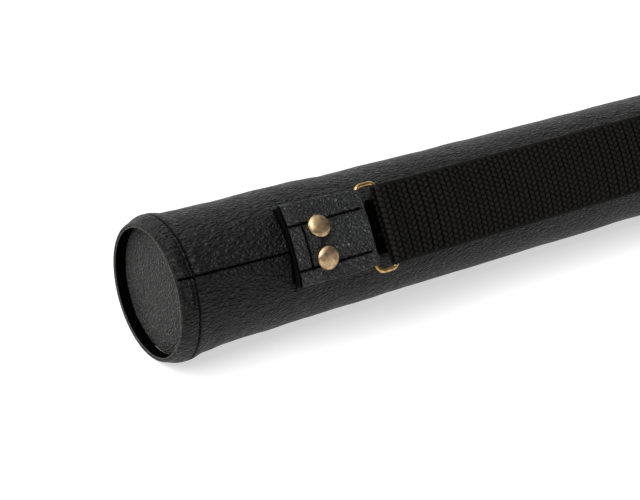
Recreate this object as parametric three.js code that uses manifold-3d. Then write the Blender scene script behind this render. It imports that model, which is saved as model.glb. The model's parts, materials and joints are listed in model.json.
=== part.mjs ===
// A hard tube cue case covered in leatherette, lying on its side along +X.
// Millimetres, +Z up. The origin is the middle of the case's length, on the line it rests on.
// -X is the closed base, +X is the lift-off lid, and the carrying strap runs along the -Y shoulder.
import * as THREE from 'three';
import { mergeVertices } from 'three/addons/utils/BufferGeometryUtils.js';
import Module from 'manifold-3d';

const wasm = await Module();
wasm.setup();

// ---- driving dimensions -------------------------------------------------------------------
const CASE_LENGTH = 830;        // base rim to lid rim
const LID_LENGTH = 130;
const COVER_R = 31;             // outside of the leatherette, over a 62 mm case
const COVER_T = 0.7;
const TUBE_WALL = 2;
const LINING_T = 1;
const GAP = 0.3;                // air between touching pieces
const FACETS = 24;              // flats round the tube; one of them is the resting face
const SEAM_GAP = 0.6;           // between the body's mouth and the lid's mouth

const RIM_DEPTH = 5;            // how far the end disc sits inside the rolled rim
const RIM_T = 1.6;              // rolled rim, two turns of leatherette
const RIM_ROUND = 0.5;          // easing of the rim's two edges
const DISC_T = 0.7;
const BOARD_T = 5;
const PAD_T = 5;

const COLLAR_LENGTH = 80;       // half in the body, half in the lid
const COLLAR_WALL = 1.5;
const LINING_CLEAR = 0.6;       // from the collar's end to the lid's lining

const STRAP_ANGLE = 60;         // degrees from the top, towards -Y
const WEBBING_W = 38;
const WEBBING_T = 1.4;
const TAB_W = 38;
const TAB_START = 58.4;         // base rim to the tab's outer edge
const MOUTH_TAB_START = 40;     // body mouth to the far tab's outer edge
const TAB_LEATHER_T = 0.9;
const TAB_SLAB_T = 2.6;         // the strip doubled back on itself
const TAB_TO_BAR = 40;          // tab's outer edge to the ring's tab-side bar
const TAB_DROP_R = 52;          // how far the tab's edges curl towards the tube
const PATCH_T = 0.7;
const TAB_RAMP = 12;            // the slope from the tab's flat top up to its eye
const TAB_CURL_FROM = 14;       // the tab curls fully up to here, and is flat at the ring
const TAB_CURL_TO = 36;
const PATCH_LENGTH = 47.4;
const PATCH_FLATS = 5;          // of the tube's flats that the patch covers
const PATCH_CLEAR = 0.25;       // air under and over the patch

const WIRE_R = 1.05;
const RING_HALF_W = 20.2;       // across the strap, on the wire's centre line
const RING_L = 11.2;            // along the strap, on the wire's centre line
const RING_CORNER_R = 3;
const WIRE_CLEAR = 0.25;
const LOOP_LENGTH = 25;         // sewn loop, from the tab-side bar to where it joins the strap
const DOUBLE_LENGTH = 27;       // the folded end sewn under the strap beyond the loop
const STRAP_DROP_R = 110;
const BAR_STRAIGHT = 17;        // half length of the wire's straight bars
const LOOP_FLAT = 3;            // flat end of the sewn loop
const LOOP_TO_STRAP = 0.5;
const DOUBLE_RAMP = 6;          // where the doubled webbing thins to one layer

const RIVET_FROM_EDGE = 16.6;
const RIVET_ANGLE = 12.5;       // each side of the strap's line
const CAP_R = 5.9;
const CAP_DOME = 1.9;
const SHANK_R = 2;
const BACK_R = 4.8;
const BACK_T = 1;
const CAP_RIM = 0.5;
const CAP_EASE = 0.2;
const SHANK_PAST_LINING = 0.4;
const BACK_CLEAR = 0.7;         // from the lining to the clinched cap

// ---- cutting tools and facets -------------------------------------------------------------
const HOLE_FROM = 20;           // rivet holes run from inside the lining to above the caps
const HOLE_TO = 45;
const NOTCH_REACH = 25;         // side notches run out past the tab's and the webbing's edges
const NOTCH_LENGTH = 6;
const NOTCH_MARGIN = 0.1;
const HOLE_SIDES = 16;
const BACK_SIDES = 20;
const CAP_SIDES = 24;
const DOME_STATIONS = [0.8, 0.55, 0.28];  // shares of the cap's radius
const EYE_SEGMENTS = 12;
const TAB_STATIONS = [10, 20, 30];        // along the tab, where its underside may bend
const TAB_STEPS = 10;
const WEBBING_STEPS = 8;
const RING_STEPS = 32;
const WIRE_SEGMENTS = 4;
const HALF_RING_OVERLAP = 0.4;
const MERGE_WITHIN = 1e-4;

// ---- worked out ---------------------------------------------------------------------------
const COVER_IN = COVER_R - COVER_T;
const TUBE_R = COVER_IN - GAP;
const BORE_R = TUBE_R - TUBE_WALL;
const LINING_R = BORE_R - GAP;
const LINING_IN = LINING_R - LINING_T;
const RIM_IN = COVER_R - RIM_T;
const AXIS_Z = COVER_R;
const BASE_X = -CASE_LENGTH / 2;
const LID_X = CASE_LENGTH / 2;
const MOUTH_X = LID_X - LID_LENGTH;
const PATCH_IN = COVER_R + PATCH_CLEAR;
const PATCH_OUT = PATCH_IN + PATCH_T;
const SLAB_LOW = PATCH_OUT + PATCH_CLEAR;
const EYE_R = WIRE_R + WIRE_CLEAR + TAB_LEATHER_T;
const BAR_Z = SLAB_LOW + EYE_R;
const FAR_BAR = TAB_TO_BAR + RING_L;
const LOOP_EYE_R = WIRE_R + WIRE_CLEAR + WEBBING_T;
const LOOP_END = TAB_TO_BAR + LOOP_LENGTH;
const LOOP_LOW = BAR_Z - LOOP_EYE_R;
const CAP_SEAT_R = 35.3;        // from the tube's axis to the underside of a rivet cap

// ---- helpers ------------------------------------------------------------------------------
const deg = THREE.MathUtils.degToRad;

function plain(geometry) {
  const bare = geometry.clone();
  bare.deleteAttribute('normal');
  bare.deleteAttribute('uv');
  const merged = mergeVertices(bare, MERGE_WITHIN);
  return merged.index ? merged : bare;
}

function toSolid(geometry) {
  const g = plain(geometry);
  const mesh = new wasm.Mesh({
    numProp: 3,
    vertProperties: new Float32Array(g.attributes.position.array),
    triVerts: new Uint32Array(g.index.array),
  });
  return new wasm.Manifold(mesh);
}

function fromSolid(solid) {
  const mesh = solid.getMesh();
  const geometry = new THREE.BufferGeometry();
  geometry.setAttribute('position', new THREE.BufferAttribute(mesh.vertProperties, 3));
  geometry.setIndex(new THREE.BufferAttribute(mesh.triVerts, 1));
  geometry.computeVertexNormals();
  return geometry;
}

function cut(geometry, tools) {
  let solid = toSolid(geometry);
  for (const tool of tools) solid = solid.subtract(toSolid(tool));
  return fromSolid(solid);
}

// A profile of [x, radius] points turned about the tube's axis, with flats at those radii.
function turned(profile, closed = true) {
  const toCorner = 1 / Math.cos(Math.PI / FACETS);
  const points = profile.map(([x, r]) => new THREE.Vector2(r * toCorner, x));
  if (closed) points.push(points[0].clone());
  const geometry = new THREE.LatheGeometry(points, FACETS, Math.PI / FACETS);
  geometry.rotateZ(-Math.PI / 2);
  return geometry;
}

const sleeve = (x0, x1, inner, outer) => turned([[x0, inner], [x0, outer], [x1, outer], [x1, inner]]);
const disc = (x0, x1, r) => turned([[x0, 0], [x0, r], [x1, r], [x1, 0]], false);

// An outline drawn in (x, z) and given a width across the strap, centred on y = 0.
function across(shape, width, steps) {
  const geometry = new THREE.ExtrudeGeometry(shape, {
    depth: width, steps, bevelEnabled: false, curveSegments: EYE_SEGMENTS,
  });
  geometry.translate(0, 0, -width / 2);
  geometry.rotateX(Math.PI / 2);
  return geometry;
}

// Lowers a strip's edges so that it curls towards the tube; fade(x) says how much.
function curl(geometry, radius, fade) {
  const p = geometry.attributes.position;
  for (let i = 0; i < p.count; i += 1) {
    const drop = p.getY(i) ** 2 / (2 * radius);
    p.setZ(i, p.getZ(i) - drop * fade(p.getX(i)));
  }
  return geometry;
}

const boxAt = (x0, x1, y0, y1, z0, z1) => new THREE.BoxGeometry(x1 - x0, y1 - y0, z1 - z0)
  .translate((x0 + x1) / 2, (y0 + y1) / 2, (z0 + z1) / 2);

// A cylinder standing along a rivet's axis: r0 and r1 are distances from the tube's axis.
function rivetPlug(x, angle, r0, r1, radius, sides) {
  const geometry = new THREE.CylinderGeometry(radius, radius, r1 - r0, sides);
  geometry.rotateX(Math.PI / 2);
  geometry.translate(0, 0, (r0 + r1) / 2);
  geometry.rotateX(deg(angle));
  return geometry.translate(x, 0, 0);
}

// ---- materials ----------------------------------------------------------------------------
const finish = (color, roughness, metalness = 0) => () => (
  new THREE.MeshStandardMaterial({ color, roughness, metalness }));
const leatherette = finish(0x141416, 0.42);
const tabLeather = finish(0x1b1d20, 0.4);
const webbing = finish(0x15120f, 0.9);
const brass = finish(0xb08d4f, 0.35, 1);
const bronze = finish(0x9a7a52, 0.45, 1);
const board = finish(0x8a6f4e, 0.85);
const plastic = finish(0x1a1a1a, 0.5);
const felt = finish(0x101014, 0.95);
const foam = finish(0x2a2a2c, 0.95);

const caseGroup = new THREE.Group();

function add(parent, name, geometry, material) {
  const mesh = new THREE.Mesh(geometry, material());
  mesh.name = name;
  parent.add(mesh);
  return mesh;
}

// Everything turned about the tube's axis hangs in this group.
const tubeGroup = new THREE.Group();
tubeGroup.position.set(0, 0, AXIS_Z);
caseGroup.add(tubeGroup);

// ---- anchors: where the strap is riveted to the tube ---------------------------------------
// Each anchor is drawn with the tab's outer edge at x = 0, the strap towards +x and the tube's
// axis along x; a group turns it to its place.
function anchorGroup(x, facing) {
  const group = new THREE.Group();
  group.position.set(x, 0, AXIS_Z);
  group.rotation.x = deg(STRAP_ANGLE);
  group.rotation.z = facing;
  return group;
}

const baseAnchor = anchorGroup(BASE_X + TAB_START, 0);
const mouthAnchor = anchorGroup(MOUTH_X - MOUTH_TAB_START, Math.PI);
caseGroup.add(baseAnchor, mouthAnchor);

// Plugs on an anchor's two rivet axes, in the anchor's own place.
function rivetHoles(from, radius) {
  return [-RIVET_ANGLE, RIVET_ANGLE].map((angle) => (
    rivetPlug(RIVET_FROM_EDGE, angle, from, HOLE_TO, radius, HOLE_SIDES)));
}

const shankHoles = () => rivetHoles(HOLE_FROM, SHANK_R + GAP);

// Two boxes that cut a strip's side edges away from x0 to x1, beside the ring's round corners.
function sideNotches(x0, x1) {
  return [-1, 1].map((side) => {
    const [near, far] = [side * BAR_STRAIGHT, side * NOTCH_REACH];
    return boxAt(x0, x1, Math.min(near, far), Math.max(near, far), HOLE_FROM, HOLE_TO);
  });
}

// The same holes carried into the tube's frame, for cutting tube, cover and lining.
function holesThroughWall() {
  const holes = [];
  for (const anchor of [baseAnchor, mouthAnchor]) {
    anchor.updateMatrix();
    const place = anchor.matrix.clone();
    place.premultiply(new THREE.Matrix4().makeTranslation(0, 0, -AXIS_Z));
    for (const hole of shankHoles()) holes.push(hole.applyMatrix4(place));
  }
  return holes;
}

function patchGeometry() {
  const flat = 360 / FACETS;
  const half = (PATCH_FLATS / 2) * flat;
  const corner = 1 / Math.cos(Math.PI / FACETS);
  const outline = [];
  for (let a = -half; a <= half; a += flat) {
    outline.push([Math.sin(deg(a)) * PATCH_OUT * corner, Math.cos(deg(a)) * PATCH_OUT * corner]);
  }
  for (let a = half; a >= -half; a -= flat) {
    outline.push([Math.sin(deg(a)) * PATCH_IN * corner, Math.cos(deg(a)) * PATCH_IN * corner]);
  }
  const shape = new THREE.Shape(outline.map(([y, z]) => new THREE.Vector2(y, z)));
  const geometry = new THREE.ExtrudeGeometry(shape, { depth: PATCH_LENGTH, bevelEnabled: false });
  // the outline's (x, y) become (y, z), and the extrusion runs along +x
  geometry.applyMatrix4(new THREE.Matrix4().set(0, 0, 1, 0, 1, 0, 0, 0, 0, 1, 0, 0, 0, 0, 0, 1));
  return cut(geometry, shankHoles());
}

// The tab: a strip folded round the ring's bar and closed on itself, with an eye for the wire.
function tabGeometry() {
  const top = SLAB_LOW + TAB_SLAB_T;
  const bar = [TAB_TO_BAR, BAR_Z];
  const lean = Math.asin((BAR_Z + EYE_R - top) / TAB_RAMP);
  const shape = new THREE.Shape();
  shape.moveTo(0, SLAB_LOW);
  for (const x of TAB_STATIONS) shape.lineTo(x, SLAB_LOW);
  shape.lineTo(bar[0], SLAB_LOW);
  shape.absarc(bar[0], bar[1], EYE_R, -Math.PI / 2, Math.PI / 2 + lean, false);
  for (const x of [TAB_TO_BAR - TAB_RAMP, 20, 10, 0]) shape.lineTo(x, top);
  const eye = new THREE.Path();
  eye.absarc(bar[0], bar[1], WIRE_R + WIRE_CLEAR, 0, Math.PI * 2, true);
  shape.holes.push(eye);
  const strip = across(shape, TAB_W, TAB_STEPS);
  curl(strip, TAB_DROP_R, (x) => 1 - THREE.MathUtils.smoothstep(x, TAB_CURL_FROM, TAB_CURL_TO));
  const notchFrom = TAB_TO_BAR - WIRE_R - WIRE_CLEAR - NOTCH_MARGIN;
  const notches = sideNotches(notchFrom, notchFrom + NOTCH_LENGTH);
  const seats = rivetHoles(CAP_SEAT_R - GAP, CAP_R + GAP);
  return cut(strip, [...notches, ...shankHoles(), ...seats]);
}

// Domed cap and its shank in one turned piece, standing along +z from the tube's axis.
function capGeometry(angle) {
  const shankEnd = LINING_IN - SHANK_PAST_LINING;
  const rimTop = CAP_SEAT_R + CAP_RIM;
  const points = [
    [0, shankEnd], [SHANK_R, shankEnd], [SHANK_R, CAP_SEAT_R], [CAP_R - CAP_EASE, CAP_SEAT_R],
    [CAP_R, CAP_SEAT_R + CAP_RIM / 2], [CAP_R - CAP_EASE, rimTop],
  ];
  for (const share of DOME_STATIONS) {
    points.push([CAP_R * share, rimTop + (CAP_DOME - CAP_RIM) * Math.sqrt(1 - share * share)]);
  }
  points.push([0, CAP_SEAT_R + CAP_DOME]);
  const geometry = new THREE.LatheGeometry(points.map(([r, z]) => new THREE.Vector2(r, z)), CAP_SIDES);
  geometry.rotateX(Math.PI / 2);
  geometry.rotateX(deg(angle));
  return geometry.translate(RIVET_FROM_EDGE, 0, 0);
}

// The cap clinched on the shank's end inside the case.
function backGeometry(angle) {
  const top = LINING_IN - BACK_CLEAR;
  return rivetPlug(RIVET_FROM_EDGE, angle, top - BACK_T, top, BACK_R, BACK_SIDES);
}

// Half of the rectangular wire ring: from the middle of one bar round to the middle of the other.
function halfRing(side) {
  const half = RING_HALF_W - RING_CORNER_R;
  const near = TAB_TO_BAR;
  const far = FAR_BAR;
  const at = (x, y) => new THREE.Vector3(x, side * y, BAR_Z);
  const bend = (from, corner, to) => new THREE.QuadraticBezierCurve3(from, corner, to);
  const path = new THREE.CurvePath();
  path.add(new THREE.LineCurve3(at(near, -HALF_RING_OVERLAP), at(near, half)));
  path.add(bend(at(near, half), at(near, RING_HALF_W), at(near + RING_CORNER_R, RING_HALF_W)));
  path.add(new THREE.LineCurve3(
    at(near + RING_CORNER_R, RING_HALF_W), at(far - RING_CORNER_R, RING_HALF_W),
  ));
  path.add(bend(at(far - RING_CORNER_R, RING_HALF_W), at(far, RING_HALF_W), at(far, half)));
  path.add(new THREE.LineCurve3(at(far, half), at(far, -HALF_RING_OVERLAP)));
  const section = new THREE.Shape().absarc(0, 0, WIRE_R, 0, Math.PI * 2, false);
  return new THREE.ExtrudeGeometry(section, {
    extrudePath: path, steps: RING_STEPS, curveSegments: WIRE_SEGMENTS, bevelEnabled: false,
  });
}

function ringGeometry() {
  return fromSolid(toSolid(halfRing(1)).add(toSolid(halfRing(-1))));
}

// The strap's sewn end: an eye round the ring's far bar, and two layers running to the strap.
function loopGeometry() {
  const top = LOOP_LOW + 2 * WEBBING_T;
  const lean = Math.asin((BAR_Z + LOOP_EYE_R - top) / (LOOP_END - FAR_BAR - LOOP_FLAT));
  const shape = new THREE.Shape();
  shape.moveTo(LOOP_END, LOOP_LOW);
  shape.lineTo(LOOP_END, top);
  shape.lineTo(LOOP_END - LOOP_FLAT, top);
  shape.absarc(FAR_BAR, BAR_Z, LOOP_EYE_R, Math.PI / 2 - lean, Math.PI * 1.5, false);
  const eye = new THREE.Path();
  eye.absarc(FAR_BAR, BAR_Z, WIRE_R + WIRE_CLEAR, 0, Math.PI * 2, true);
  shape.holes.push(eye);
  const strip = across(shape, WEBBING_W, WEBBING_STEPS);
  const notchTo = FAR_BAR + WIRE_R + WIRE_CLEAR + NOTCH_MARGIN;
  return cut(strip, sideNotches(notchTo - NOTCH_LENGTH, notchTo));
}

// The strap itself, single webbing with a doubled stretch at each end where the fold is sewn.
function strapGeometry(length) {
  const start = LOOP_END + LOOP_TO_STRAP;
  const end = length - start;
  const single = LOOP_LOW + WEBBING_T;
  const shape = new THREE.Shape();
  shape.moveTo(start, LOOP_LOW);
  shape.lineTo(end, LOOP_LOW);
  shape.lineTo(end, single + WEBBING_T);
  shape.lineTo(end - DOUBLE_LENGTH, single + WEBBING_T);
  shape.lineTo(end - DOUBLE_LENGTH - DOUBLE_RAMP, single);
  shape.lineTo(start + DOUBLE_LENGTH + DOUBLE_RAMP, single);
  shape.lineTo(start + DOUBLE_LENGTH, single + WEBBING_T);
  shape.lineTo(start, single + WEBBING_T);
  return curl(across(shape, WEBBING_W, WEBBING_STEPS), STRAP_DROP_R, () => 1);
}

function addAnchor(end, group) {
  add(group, `${end}_tab_patch`, patchGeometry(), leatherette);
  add(group, `${end}_tab`, tabGeometry(), tabLeather);
  add(group, `${end}_ring`, ringGeometry(), brass);
  add(group, `${end}_strap_loop`, loopGeometry(), webbing);
  // turned end for end, the mouth's anchor has its own +y side lowest
  const up = end === 'base' ? -RIVET_ANGLE : RIVET_ANGLE;
  for (const [place, angle] of [['upper', up], ['lower', -up]]) {
    add(group, `${end}_rivet_cap_${place}`, capGeometry(angle), bronze);
    add(group, `${end}_rivet_back_${place}`, backGeometry(angle), bronze);
  }
}

// ---- body: the long half that stays in the hand --------------------------------------------
const wallHoles = holesThroughWall();

function coverProfile(rimX, mouthX) {
  const inward = Math.sign(mouthX - rimX);
  const lip = rimX + inward * (RIM_DEPTH - GAP);
  return [
    [rimX + inward * RIM_ROUND, RIM_IN], [rimX, RIM_IN + RIM_ROUND],
    [rimX, COVER_R - RIM_ROUND], [rimX + inward * RIM_ROUND, COVER_R],
    [mouthX, COVER_R], [mouthX, COVER_IN],
    [lip, COVER_IN], [lip, RIM_IN],
  ];
}

function addBody(group) {
  const tubeX = BASE_X + RIM_DEPTH + DISC_T + GAP;
  const boardEnd = tubeX + BOARD_T;
  const padEnd = boardEnd + GAP + PAD_T;
  const collarX = MOUTH_X - COLLAR_LENGTH / 2;
  const coverEnd = turned(coverProfile(BASE_X, MOUTH_X));
  add(group, 'body_cover', cut(coverEnd, wallHoles), leatherette);
  add(group, 'body_tube', cut(sleeve(tubeX, MOUTH_X, BORE_R, TUBE_R), wallHoles), plastic);
  const discX = BASE_X + RIM_DEPTH;
  add(group, 'base_disc_cover', disc(discX, discX + DISC_T, TUBE_R), leatherette);
  add(group, 'base_board', disc(tubeX, boardEnd, LINING_R), board);
  add(group, 'base_pad', disc(boardEnd + GAP, padEnd, LINING_R), foam);
  const lining = sleeve(padEnd + GAP, collarX - GAP, LINING_IN, LINING_R);
  add(group, 'body_lining', cut(lining, wallHoles), felt);
  const collar = sleeve(collarX, collarX + COLLAR_LENGTH, LINING_R - COLLAR_WALL, LINING_R);
  add(group, 'mouth_collar', collar, plastic);
}

// ---- lid: slides over the collar ------------------------------------------------------------
function addLid(group) {
  const mouth = MOUTH_X + SEAM_GAP;
  const tubeX = LID_X - RIM_DEPTH - DISC_T - GAP;
  const boardX = tubeX - BOARD_T;
  const padX = boardX - GAP - PAD_T;
  const liningX = MOUTH_X + COLLAR_LENGTH / 2 + LINING_CLEAR;
  add(group, 'lid_cover', turned(coverProfile(LID_X, mouth).reverse()), leatherette);
  add(group, 'lid_tube', sleeve(mouth, tubeX, BORE_R, TUBE_R), plastic);
  const discX = LID_X - RIM_DEPTH;
  add(group, 'lid_disc_cover', disc(discX - DISC_T, discX, TUBE_R), leatherette);
  add(group, 'lid_board', disc(boardX, tubeX, LINING_R), board);
  add(group, 'lid_pad', disc(padX, boardX - GAP, LINING_R), foam);
  add(group, 'lid_lining', sleeve(liningX, padX - GAP, LINING_IN, LINING_R), felt);
}

addBody(tubeGroup);
addLid(tubeGroup);
addAnchor('base', baseAnchor);
addAnchor('mouth', mouthAnchor);
const strapSpan = (MOUTH_X - MOUTH_TAB_START) - (BASE_X + TAB_START);
add(baseAnchor, 'strap', strapGeometry(strapSpan), webbing);

export default caseGroup;
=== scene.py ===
# %% [markdown]
# # A hard tube case for a billiard cue
# This file dresses a working model of a cue case: a stiff tube sewn into black leatherette, with
# a riveted tab, a brass wire ring and a webbing strap. The frame below holds the real sizes and
# the joints. Every cell makes one piece, in metres, in the place the frame gives it.

# %% Load the frame
import json
import math
import bpy
import bmesh
import numpy as np
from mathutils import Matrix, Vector


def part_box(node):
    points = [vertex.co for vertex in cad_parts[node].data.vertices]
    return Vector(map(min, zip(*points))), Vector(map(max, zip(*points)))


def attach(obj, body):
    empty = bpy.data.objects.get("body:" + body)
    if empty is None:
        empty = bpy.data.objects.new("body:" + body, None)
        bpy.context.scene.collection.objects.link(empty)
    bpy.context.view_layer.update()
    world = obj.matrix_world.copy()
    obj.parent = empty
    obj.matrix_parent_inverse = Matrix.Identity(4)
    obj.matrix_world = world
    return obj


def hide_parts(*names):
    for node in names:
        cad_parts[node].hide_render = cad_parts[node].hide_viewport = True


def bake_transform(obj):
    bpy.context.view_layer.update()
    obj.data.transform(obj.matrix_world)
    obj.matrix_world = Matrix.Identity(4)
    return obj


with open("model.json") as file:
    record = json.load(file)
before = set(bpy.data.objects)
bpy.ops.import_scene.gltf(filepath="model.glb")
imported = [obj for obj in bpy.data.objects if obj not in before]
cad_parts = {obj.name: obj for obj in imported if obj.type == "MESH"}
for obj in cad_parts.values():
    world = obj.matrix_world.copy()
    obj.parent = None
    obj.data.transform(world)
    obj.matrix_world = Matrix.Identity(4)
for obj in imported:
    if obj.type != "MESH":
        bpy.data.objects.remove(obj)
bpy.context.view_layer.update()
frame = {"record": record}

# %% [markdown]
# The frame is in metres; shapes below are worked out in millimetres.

MM = 0.001

# %% [markdown]
# ## Where things are
# A turned object is easiest to describe by its axis: a distance along it, a radius, and an angle
# round it. The angle is counted from the top of the case towards the strap's side. The tab, ring
# and strap have a frame of their own: `along` from the tab's outer edge towards the strap,
# `side` across the strap towards the top of the case, and `high`, the distance from the tube's
# axis. The ring's hinge in the frame gives its place, so nothing is measured twice.

# %% Places worked out from the frame
cover_low, cover_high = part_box("body_cover")
lid_low, lid_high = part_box("lid_cover")
AXIS_Z = (cover_low[2] + cover_high[2]) / 2
CASE_R = (cover_high[2] - cover_low[2]) / 2 / MM
BASE_X, MOUTH_X = cover_low[0], cover_high[0]
LID_MOUTH_X, LID_X = lid_low[0], lid_high[0]
BODY_LENGTH = (MOUTH_X - BASE_X) / MM
LID_LENGTH = (LID_X - LID_MOUTH_X) / MM
joints = {joint["name"]: joint for joint in frame["record"]["behaviour"]["joints"]}


def round_the_tube(x, radius, angle):
    """Points at x metres, radius in mm, angle in radians from the top towards the strap."""
    y = -radius * MM * np.sin(angle)
    z = AXIS_Z + radius * MM * np.cos(angle)
    return np.stack(np.broadcast_arrays(x, y, z), axis=-1)


class Anchor:
    """The place of one tab, its ring and the strap's end."""

    TAB_TO_BAR = 40.0

    def __init__(self, end, toward_strap):
        bar = Vector(joints[f"{end}_ring_swing"]["pos_m"])
        radial = Vector((0, bar.y, bar.z - AXIS_Z))
        self.end = end
        self.body = f"{end}_ring_body"
        self.out = np.array(radial.normalized())
        self.up_slope = np.array((0.0, self.out[2], -self.out[1]))
        self.along = np.array((toward_strap, 0.0, 0.0))
        self.bar_high = radial.length / MM
        self.edge_x = bar.x - toward_strap * self.TAB_TO_BAR * MM

    def point(self, along, side, high):
        along, side, high = np.broadcast_arrays(along, side, high)
        base = np.array((self.edge_x, 0.0, AXIS_Z))
        return base + MM * (along[..., None] * self.along + side[..., None] * self.up_slope
                            + high[..., None] * self.out)


base_anchor = Anchor("base", 1.0)
mouth_anchor = Anchor("mouth", -1.0)
ANCHORS = (base_anchor, mouth_anchor)
BAR_HIGH = base_anchor.bar_high
RING_LENGTH = 11.2
FAR_BAR = Anchor.TAB_TO_BAR + RING_LENGTH
STRAP_HALF = abs(mouth_anchor.edge_x - base_anchor.edge_x) / MM / 2
print(f"case radius {CASE_R:.1f} mm, bar {BAR_HIGH:.1f} mm off the axis, half strap {STRAP_HALF:.0f} mm")

# %% [markdown]
# ## Camera
# A long lens three quarters of a metre from the closed end, above it and to the strap's side,
# looks down the case. A short lens would make the rim bulge. The camera is placed from the
# middle of the base rim, so it follows the case if the case is moved.

# %% Camera
LENS, SENSOR = 94.49, 36.0
FROM_RIM = (-0.3129, -0.59745, 0.32786)
HEADING = (0.51106, 0.75202, -0.41627)
camera_data = bpy.data.cameras.new("camera")
camera_data.lens = LENS
camera_data.sensor_width = SENSOR
camera = bpy.data.objects.new("camera", camera_data)
camera.location = (BASE_X + FROM_RIM[0], FROM_RIM[1], AXIS_Z + FROM_RIM[2])
camera.rotation_euler = Vector(HEADING).to_track_quat("-Z", "Y").to_euler()
bpy.context.collection.objects.link(camera)
bpy.context.scene.camera = camera
print("camera to base rim:", round((camera.location - Vector((BASE_X, 0, AXIS_Z))).length, 3), "m")

# %% [markdown]
# ## Making meshes from numbers
# Leather and webbing are long surfaces whose shape follows formulas: a seam here, a row of
# stitches there. A grid of points computed with numpy gives full control of each millimetre,
# which sculpting or stacked modifiers would not. Two makers cover every piece: `loft` joins
# closed rings of points into a skin, and `merged` puts many small copies into one object.

# %% Mesh makers
def mesh_object(name, vertices, faces, attributes=None):
    mesh = bpy.data.meshes.new(name)
    mesh.from_pydata(np.asarray(vertices).reshape(-1, 3).tolist(), [], faces)
    work = bmesh.new()
    work.from_mesh(mesh)
    bmesh.ops.recalc_face_normals(work, faces=work.faces)
    work.to_mesh(mesh)
    work.free()
    mesh.polygons.foreach_set("use_smooth", [True] * len(mesh.polygons))
    for key, values in (attributes or {}).items():
        values = np.asarray(values, np.float32)
        kind = "FLOAT_VECTOR" if values.shape[-1] == 3 and values.ndim > 2 else "FLOAT"
        layer = mesh.attributes.new(key, kind, "POINT")
        layer.data.foreach_set("vector" if kind == "FLOAT_VECTOR" else "value", values.ravel())
    mesh.update()
    piece = bpy.data.objects.new(name, mesh)
    bpy.context.collection.objects.link(piece)
    return piece


def loft(name, rings, caps=True, closed=False, attributes=None):
    """A skin over rings[n][m] of points; closed joins the last ring to the first."""
    count, around = rings.shape[:2]
    here = np.arange(count * around).reshape(count, around)
    rows = here if not closed else np.vstack([here, here[:1]])
    a, b = rows[:-1], rows[1:]
    quads = np.stack([a, np.roll(a, -1, 1), np.roll(b, -1, 1), b], -1).reshape(-1, 4).tolist()
    if caps and not closed:
        quads += [here[0].tolist(), here[-1][::-1].tolist()]
    return mesh_object(name, rings, quads, attributes)


def merged(name, shapes):
    """Many closed shapes (points, faces) as one object."""
    points, faces, start = [], [], 0
    for shape_points, shape_faces in shapes:
        points.append(np.asarray(shape_points))
        faces += [[i + start for i in face] for face in shape_faces]
        start += len(shape_points)
    return mesh_object(name, np.concatenate(points), faces)


def dress(piece, material, slot, body, *nodes):
    """Gives a piece its material, the CAD nodes it stands for and the body it rides; slot is not used.
    """
    piece.data.materials.clear()
    piece.data.materials.append(material)
    if nodes:
        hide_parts(*nodes)
    if body:
        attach(piece, body)
    print(f"{piece.name}: {len(piece.data.vertices)} points on {body or 'a blend'}")
    return piece


# %% [markdown]
# ## Uneven surfaces
# Nothing sewn by hand is exact. `unevenness` adds up a few seeded sine waves in space, so it has
# no seam round the tube and is the same on each run. `eased` draws a smooth line through a few
# heights, `hump` is a soft bump and `between` is a soft window, all used for seams and puckers.

# %% Shape helpers
def unevenness(points, size, seed, waves=20):
    """About -1 to 1 over points in mm, with features of about size mm."""
    draw = np.random.default_rng(seed)
    heading = draw.normal(size=(waves, 3))
    heading /= np.linalg.norm(heading, axis=1, keepdims=True)
    step = 2 * math.pi / size * draw.uniform(0.6, 1.2, waves)
    phase = draw.uniform(0, 2 * math.pi, waves)
    total = np.zeros(points.shape[:-1])
    for wave in range(waves):
        total += np.sin(points @ heading[wave] * step[wave] + phase[wave])
    return total / math.sqrt(waves)


def eased(x, stops):
    """A smooth line through (position, height) stops."""
    places, heights = zip(*stops)
    spot = np.clip(np.searchsorted(places, x, side="right") - 1, 0, len(places) - 2)
    places, heights = np.array(places), np.array(heights)
    t = np.clip((x - places[spot]) / (places[spot + 1] - places[spot]), 0, 1)
    t = t * t * (3 - 2 * t)
    return heights[spot] + (heights[spot + 1] - heights[spot]) * t


def hump(x, centre, width):
    return np.exp(-((x - centre) / width) ** 2)


def between(x, low, high, soft):
    rise = np.clip((x - low) / soft + 0.5, 0, 1)
    fall = np.clip((high - x) / soft + 0.5, 0, 1)
    return rise * rise * (3 - 2 * rise) * fall * fall * (3 - 2 * fall)


# %% [markdown]
# ## Shader maths
# A material here is a sum of masks and heights. `Value` wraps one output of a node so that sums
# are written as sums: `1 - mask` or `grain * 0.3 + crease` add the Math nodes themselves.
# `NodeTree` has the one method that adds any other node; the studio's light uses it too.

# %% Shader maths
def grey(value):
    return (value, value, value, 1.0)


def tint(colour, by=1.0):
    """A colour for a socket, made darker or lighter."""
    return (*[channel * by for channel in colour], 1.0)


class Value:
    """One output socket of a node tree, with arithmetic."""

    def __init__(self, owner, socket):
        self.owner, self.socket = owner, socket

    def _math(self, operation, first, second):
        values = {0: first, 1: second}
        return self.owner.node("ShaderNodeMath", {"operation": operation}, values)

    def __add__(self, other):
        return self._math("ADD", self, other)

    def __mul__(self, other):
        return self._math("MULTIPLY", self, other)

    def __rsub__(self, other):
        return self._math("SUBTRACT", other, self)

    def at_most(self, limit):
        return self._math("MINIMUM", self, limit)


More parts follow.
